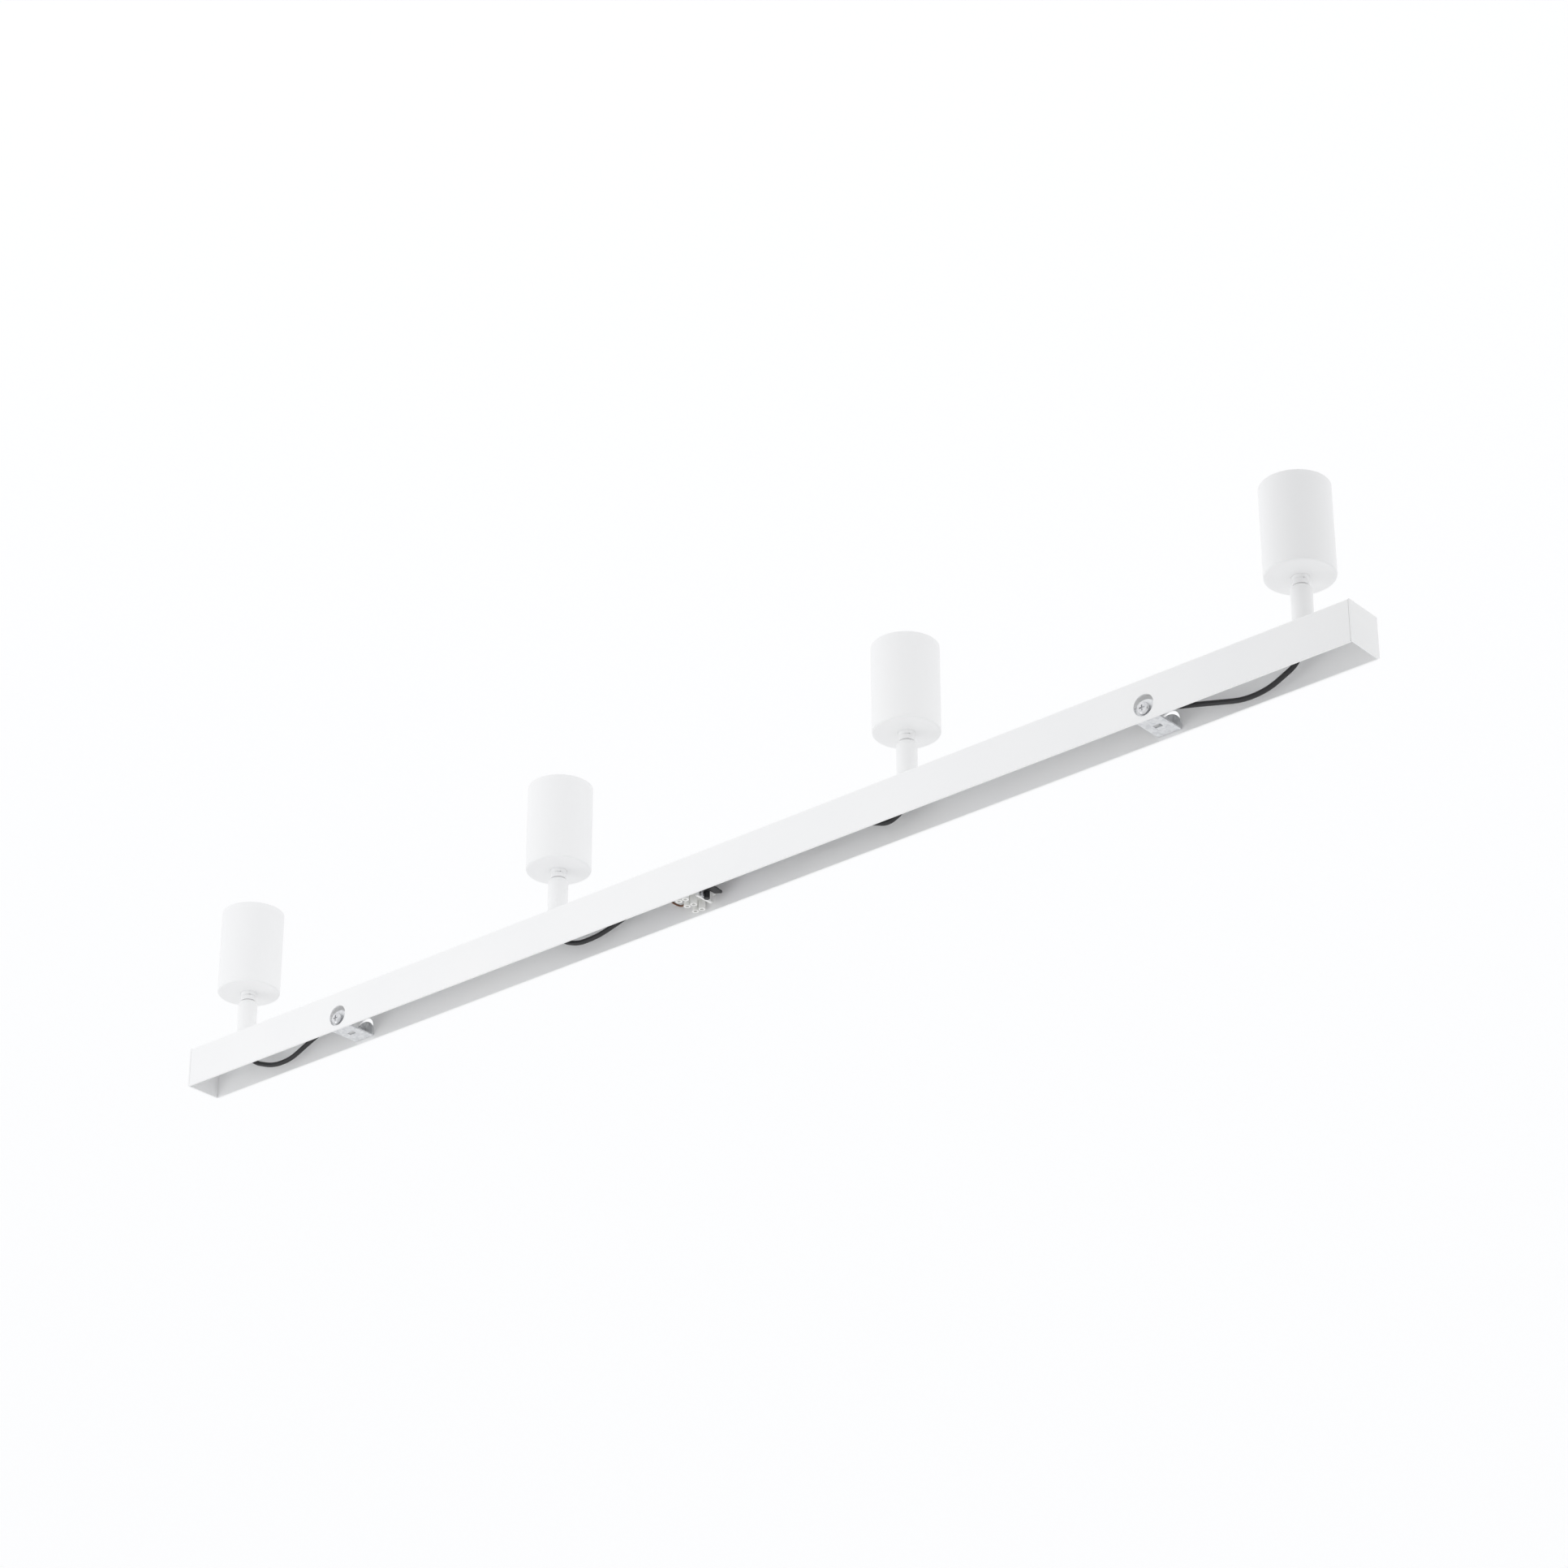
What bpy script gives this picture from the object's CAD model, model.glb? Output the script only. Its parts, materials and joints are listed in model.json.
import json
import math

import bpy
from mathutils import Matrix, Vector


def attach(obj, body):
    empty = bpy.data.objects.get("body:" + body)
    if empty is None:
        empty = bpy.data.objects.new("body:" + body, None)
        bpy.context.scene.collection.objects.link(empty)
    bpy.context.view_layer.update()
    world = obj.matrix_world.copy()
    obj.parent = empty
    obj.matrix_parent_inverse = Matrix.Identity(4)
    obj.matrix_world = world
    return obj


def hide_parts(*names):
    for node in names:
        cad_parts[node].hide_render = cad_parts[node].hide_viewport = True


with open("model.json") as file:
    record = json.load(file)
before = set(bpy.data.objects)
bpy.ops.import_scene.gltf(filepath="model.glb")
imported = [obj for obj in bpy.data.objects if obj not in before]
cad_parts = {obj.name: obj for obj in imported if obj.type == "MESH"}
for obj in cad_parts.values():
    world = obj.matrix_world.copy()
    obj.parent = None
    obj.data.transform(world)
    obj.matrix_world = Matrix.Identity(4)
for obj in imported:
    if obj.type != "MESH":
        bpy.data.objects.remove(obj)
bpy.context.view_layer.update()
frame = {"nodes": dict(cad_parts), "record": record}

# Four-spot ceiling bar light in a plain studio.  The frame's own pieces get
# procedural materials.  Nipple threads and lens rings are added as meshes, and
# the tilt brackets are shown painted.

nodes = frame["nodes"]
HEADS = (1, 2, 3, 4)
MM = 0.001

# millimetres, as in the CAD
HEAD_PITCH = 366.0
NIPPLE_RADIUS = 6.45
NIPPLE_ABOVE_NUT = -30.3
NIPPLE_THREAD = 2.9
THREAD_PITCH = 1.0
THREAD_HEIGHT = 0.28
THREAD_ROOT = -0.1
LENS_FACE = -150.2
LENS_RINGS = 15
LENS_MIDDLE = 6.0
LENS_RIDGE = 0.22

# metres
RIGHT_END = (0.6, 0.0, -0.06)
CARD_PLACE = (0.95, 0.35, -0.06)
CARD_SIZE = 0.42


# ----------------------------------------------------------- material helpers
def new_material(name, colour, roughness, metallic=0.0):
    """A Principled material with constant base values, its node tree and its shader node."""
    material = bpy.data.materials.new(name)
    material.use_nodes = True
    shader = material.node_tree.nodes["Principled BSDF"]
    shader.inputs["Base Color"].default_value = (*colour, 1.0)
    shader.inputs["Roughness"].default_value = roughness
    shader.inputs["Metallic"].default_value = metallic
    return material, material.node_tree, shader


def object_coordinates(tree):
    return tree.nodes.new("ShaderNodeTexCoord").outputs["Object"]


def noise(tree, scale, detail=3.0, roughness=0.5):
    """Noise over the object's own coordinates; scale is in cells per metre."""
    texture = tree.nodes.new("ShaderNodeTexNoise")
    texture.inputs["Scale"].default_value = scale
    texture.inputs["Detail"].default_value = detail
    texture.inputs["Roughness"].default_value = roughness
    tree.links.new(object_coordinates(tree), texture.inputs["Vector"])
    return texture.outputs["Fac"]


def ramp(tree, factor, stops):
    """A colour ramp; each stop is a position and a colour or grey value."""
    node = tree.nodes.new("ShaderNodeValToRGB")
    elements = node.color_ramp.elements
    while len(elements) < len(stops):
        elements.new(0.5)
    for element, (position, value) in zip(elements, stops):
        element.position = position
        colour = value if isinstance(value, tuple) else (value, value, value)
        element.color = (*colour, 1.0)
    tree.links.new(factor, node.inputs["Fac"])
    return node.outputs["Color"]


def bump(tree, shader, height, distance, strength=1.0, previous=None):
    """Surface relief; distance is the height of the relief in metres."""
    node = tree.nodes.new("ShaderNodeBump")
    node.inputs["Strength"].default_value = strength
    node.inputs["Distance"].default_value = distance
    tree.links.new(height, node.inputs["Height"])
    if previous is not None:
        tree.links.new(previous, node.inputs["Normal"])
    tree.links.new(node.outputs["Normal"], shader.inputs["Normal"])
    return node.outputs["Normal"]


# ------------------------------------------------------------------ materials
def powder_coat():
    """Satin white powder coat: fine orange peel and a faint change of tone."""
    material, tree, shader = new_material("white_powder_coat", (0.94, 0.94, 0.94), 0.42)
    tone = ramp(tree, noise(tree, 9.0), [(0.3, (0.93, 0.932, 0.935)), (0.7, (0.95, 0.95, 0.948))])
    tree.links.new(tone, shader.inputs["Base Color"])
    sheen = ramp(tree, noise(tree, 60.0), [(0.3, 0.38), (0.7, 0.47)])
    tree.links.new(sheen, shader.inputs["Roughness"])
    peel = bump(tree, shader, noise(tree, 900.0, 2.0), 0.00002, 0.5)
    bump(tree, shader, noise(tree, 260.0, 1.0), 0.00003, 0.35, peel)
    return material


def galvanised():
    """Hot-dip spangle: flat crystals of slightly different grey."""
    material, tree, shader = new_material("galvanised_steel", (0.78, 0.79, 0.8), 0.4, 0.6)
    cells = tree.nodes.new("ShaderNodeTexVoronoi")
    cells.inputs["Scale"].default_value = 420.0
    tree.links.new(object_coordinates(tree), cells.inputs["Vector"])
    tone = ramp(tree, cells.outputs["Color"], [(0.1, (0.68, 0.69, 0.71)), (0.9, (0.87, 0.88, 0.89))])
    tree.links.new(tone, shader.inputs["Base Color"])
    rough = ramp(tree, cells.outputs["Color"], [(0.1, 0.3), (0.9, 0.5)])
    tree.links.new(rough, shader.inputs["Roughness"])
    bump(tree, shader, noise(tree, 700.0), 0.00003, 0.4)
    return material


def zinc_plate():
    """Bright zinc on turned and rolled steel."""
    material, tree, shader = new_material("zinc_plated_steel", (0.7, 0.71, 0.73), 0.28, 0.95)
    tone = ramp(tree, noise(tree, 180.0), [(0.3, (0.6, 0.61, 0.63)), (0.7, (0.78, 0.78, 0.79))])
    tree.links.new(tone, shader.inputs["Base Color"])
    rough = ramp(tree, noise(tree, 500.0), [(0.3, 0.22), (0.7, 0.36)])
    tree.links.new(rough, shader.inputs["Roughness"])
    return material


def moulded(name, colour, roughness, grain=700.0, depth=0.00003, coat=0.0):
    """Moulded plastic or ceramic with a fine spark-eroded grain."""
    material, tree, shader = new_material(name, colour, roughness)
    shader.inputs["Coat Weight"].default_value = coat
    shader.inputs["Coat Roughness"].default_value = 0.25
    dark = tuple(0.93 * part for part in colour)
    light = tuple(min(1.0, 1.05 * part) for part in colour)
    tone = ramp(tree, noise(tree, 150.0), [(0.3, dark), (0.7, light)])
    tree.links.new(tone, shader.inputs["Base Color"])
    rough = ramp(tree, noise(tree, 300.0), [(0.3, roughness - 0.05), (0.7, roughness + 0.05)])
    tree.links.new(rough, shader.inputs["Roughness"])
    bump(tree, shader, noise(tree, grain, 2.0), depth, 0.4)
    return material


def brass():
    material, tree, shader = new_material("brass_clamp", (0.78, 0.6, 0.3), 0.3, 1.0)
    tone = ramp(tree, noise(tree, 250.0), [(0.3, (0.7, 0.52, 0.24)), (0.7, (0.83, 0.66, 0.36))])
    tree.links.new(tone, shader.inputs["Base Color"])
    return material


def striped_insulation():
    """Green wire insulation with yellow bands."""
    material, tree, shader = new_material("earth_insulation", (0.75, 0.68, 0.08), 0.35)
    wave = tree.nodes.new("ShaderNodeTexWave")
    wave.inputs["Scale"].default_value = 90.0
    tree.links.new(object_coordinates(tree), wave.inputs["Vector"])
    bands = ramp(tree, wave.outputs["Fac"], [(0.45, (0.85, 0.72, 0.05)), (0.55, (0.1, 0.4, 0.12))])
    tree.links.new(bands, shader.inputs["Base Color"])
    return material


def frosted_lens():
    """Frosted front lens of the lamp."""
    material, tree, shader = new_material("lens_glass", (0.93, 0.94, 0.95), 0.22)
    shader.inputs["Transmission Weight"].default_value = 0.35
    shader.inputs["IOR"].default_value = 1.49
    tone = ramp(tree, noise(tree, 200.0), [(0.3, (0.9, 0.91, 0.92)), (0.7, (0.96, 0.96, 0.96))])
    tree.links.new(tone, shader.inputs["Base Color"])
    return material


FINISHES = {
    "white_powder_coat": powder_coat(),
    "galvanised_steel": galvanised(),
    "zinc_plated_steel": zinc_plate(),
    "terminal_plastic": moulded("terminal_plastic", (0.89, 0.89, 0.87), 0.33, coat=0.3),
    "stand_plastic": moulded("stand_plastic", (0.89, 0.89, 0.88), 0.5),
    "black_plastic": moulded("black_plastic", (0.018, 0.018, 0.02), 0.45),
    "brass_clamp": brass(),
    "black_sheath": moulded("black_sheath", (0.014, 0.014, 0.016), 0.42, grain=1500.0),
    "brown_insulation": moulded("brown_insulation", (0.17, 0.07, 0.03), 0.35),
    "blue_insulation": moulded("blue_insulation", (0.04, 0.13, 0.45), 0.35),
    "earth_insulation": striped_insulation(),
    "lamp_holder_ceramic": moulded("lamp_holder_ceramic", (0.82, 0.81, 0.77), 0.6, grain=1200.0),
    "lamp_plastic": moulded("lamp_plastic", (0.86, 0.86, 0.85), 0.3, coat=0.2),
    "lens_glass": frosted_lens(),
}

for part in frame["record"]["subparts"]:
    mesh = nodes[part["node"]].data
    mesh.materials.clear()
    mesh.materials.append(FINISHES[part["material_slot"]])


# ------------------------------------------------------------- added fine parts
def head_x(number):
    return (number - 2.5) * HEAD_PITCH


def add_piece(name, vertices, faces, finish, body):
    """A mesh in millimetres that takes a finish and moves with a body."""
    mesh = bpy.data.meshes.new(name)
    mesh.from_pydata([vertex * MM for vertex in vertices], [], faces)
    mesh.materials.append(FINISHES[finish])
    mesh.validate()
    piece = bpy.data.objects.new(name, mesh)
    bpy.context.scene.collection.objects.link(piece)
    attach(piece, body)


def add_nipple_thread(number):
    """Helical ridge on the hollow nipple above its nut, fading out at both ends."""
    steps = 36
    count = int(NIPPLE_THREAD / THREAD_PITCH * steps)
    vertices = []
    for step in range(count + 1):
        angle = 2.0 * math.pi * step / steps
        outward = Vector((math.cos(angle), math.sin(angle), 0.0))
        crest = THREAD_HEIGHT * min(1.0, 3.0 * step / steps, 3.0 * (count - step) / steps)
        for offset, height in ((0.0, THREAD_ROOT), (0.4, crest), (0.6, crest), (0.95, THREAD_ROOT)):
            level = NIPPLE_ABOVE_NUT + (step / steps + offset) * THREAD_PITCH
            centre = Vector((head_x(number), 0.0, level))
            vertices.append(centre + outward * (NIPPLE_RADIUS + height))
    faces = []
    for step in range(count):
        for side in range(3):
            corner = 4 * step + side
            faces.append((corner, corner + 4, corner + 5, corner + 1))
    add_piece("nipple_thread_%d" % number, vertices, faces, "zinc_plated_steel", "bar")


def add_lens_rings(number):
    """Concentric ridges moulded on the front of a lamp's lens, around a plain middle."""
    segments = 96
    profile = [(LENS_MIDDLE - 0.4, 0.05)]
    for ring in range(LENS_RINGS):
        inner = LENS_MIDDLE + ring
        profile += [(inner, 0.0), (inner + 0.5, -LENS_RIDGE), (inner + 0.95, 0.0)]
    profile.append((LENS_MIDDLE + LENS_RINGS + 0.4, 0.05))
    vertices = []
    for radius, height in profile:
        for turn in range(segments):
            angle = 2.0 * math.pi * turn / segments
            vertices.append(Vector((head_x(number) + radius * math.cos(angle),
                                    radius * math.sin(angle), LENS_FACE + height)))
    faces = []
    for row in range(len(profile) - 1):
        for turn in range(segments):
            onward = (turn + 1) % segments
            faces.append((row * segments + turn, (row + 1) * segments + turn,
                          (row + 1) * segments + onward, row * segments + onward))
    add_piece("lens_rings_%d" % number, vertices, faces, "lens_glass", "head_%d" % number)


def paint_tilt_bracket(number):
    """The same tilt bracket in the head's white, in place of the bare zinc one."""
    bare = nodes["tilt_bracket_%d" % number]
    painted = bpy.data.objects.new("painted_bracket_%d" % number, bare.data.copy())
    bpy.context.scene.collection.objects.link(painted)
    painted.matrix_world = bare.matrix_world.copy()
    painted.data.materials.clear()
    painted.data.materials.append(FINISHES["white_powder_coat"])
    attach(painted, "head_%d" % number)
    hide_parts(bare.name)


for head in HEADS:
    add_nipple_thread(head)
    paint_tilt_bracket(head)
    add_lens_rings(head)


# --------------------------------------------------------------------- studio
def studio_floor():
    """Wide pale floor, a room's height under the ceiling that the bar hangs from."""
    material, _, shader = new_material("studio_floor", (0.95, 0.95, 0.95), 0.9)
    shader.inputs["Emission Color"].default_value = (1.0, 1.0, 1.0, 1.0)
    shader.inputs["Emission Strength"].default_value = 0.2
    bpy.ops.mesh.primitive_circle_add(vertices=96, radius=60.0, fill_type="NGON",
                                      location=(0.0, 0.0, -2.4))
    floor = bpy.context.object
    floor.name = "floor"
    floor.data.materials.append(material)


def studio_light():
    """White room light, a large soft box at the left end and a weak one at the right end."""
    world = bpy.data.worlds.new("studio")
    world.use_nodes = True
    background = world.node_tree.nodes["Background"]
    background.inputs["Color"].default_value = (0.982, 0.988, 1.0, 1.0)
    background.inputs["Strength"].default_value = 0.835
    bpy.context.scene.world = world

    def soft_box(name, place, size, power):
        lamp = bpy.data.lights.new(name, "AREA")
        lamp.shape = "SQUARE"
        lamp.size = size
        lamp.energy = power
        light = bpy.data.objects.new(name, lamp)
        bpy.context.scene.collection.objects.link(light)
        light.location = place
        light.rotation_euler = (-Vector(place)).to_track_quat("-Z", "Y").to_euler()

    soft_box("key", (-1.7, 1.7, 1.2), 1.2, 7.0)
    soft_box("fill", (2.2, -0.5, 0.6), 1.2, 2.0)


def shade_card():
    """Black card near the right end, kept out of the camera's sight, that shades that end."""
    material = new_material("card_black", (0.02, 0.02, 0.02), 0.9)[0]
    bpy.ops.mesh.primitive_plane_add(size=CARD_SIZE, location=CARD_PLACE)
    card = bpy.context.object
    card.name = "shade_card"
    towards_end = Vector(RIGHT_END) - Vector(CARD_PLACE)
    card.rotation_euler = towards_end.to_track_quat("Z", "Y").to_euler()
    card.visible_camera = False
    card.data.materials.append(material)


def camera():
    """Camera above the ceiling side, rolled over so that the heads point up in the frame."""
    data = bpy.data.cameras.new("camera")
    data.sensor_width = 36.0
    data.lens = 99.92
    data.shift_x = -0.0111
    data.shift_y = 0.0084
    data.clip_end = 200.0
    view = bpy.data.objects.new("camera", data)
    bpy.context.scene.collection.objects.link(view)
    forward = Vector((-0.56670, -0.67998, -0.46526)).normalized()
    up = Vector((0.30069, 0.35506, -0.88517))
    right = forward.cross(up).normalized()
    up = right.cross(forward)
    turn = Matrix((right, up, -forward)).transposed()
    view.matrix_world = Matrix.Translation((2.0132, 2.3234, 1.5304)) @ turn.to_4x4()
    bpy.context.scene.camera = view


studio_floor()
studio_light()
shade_card()
camera()
bpy.context.scene.view_settings.view_transform = "Standard"
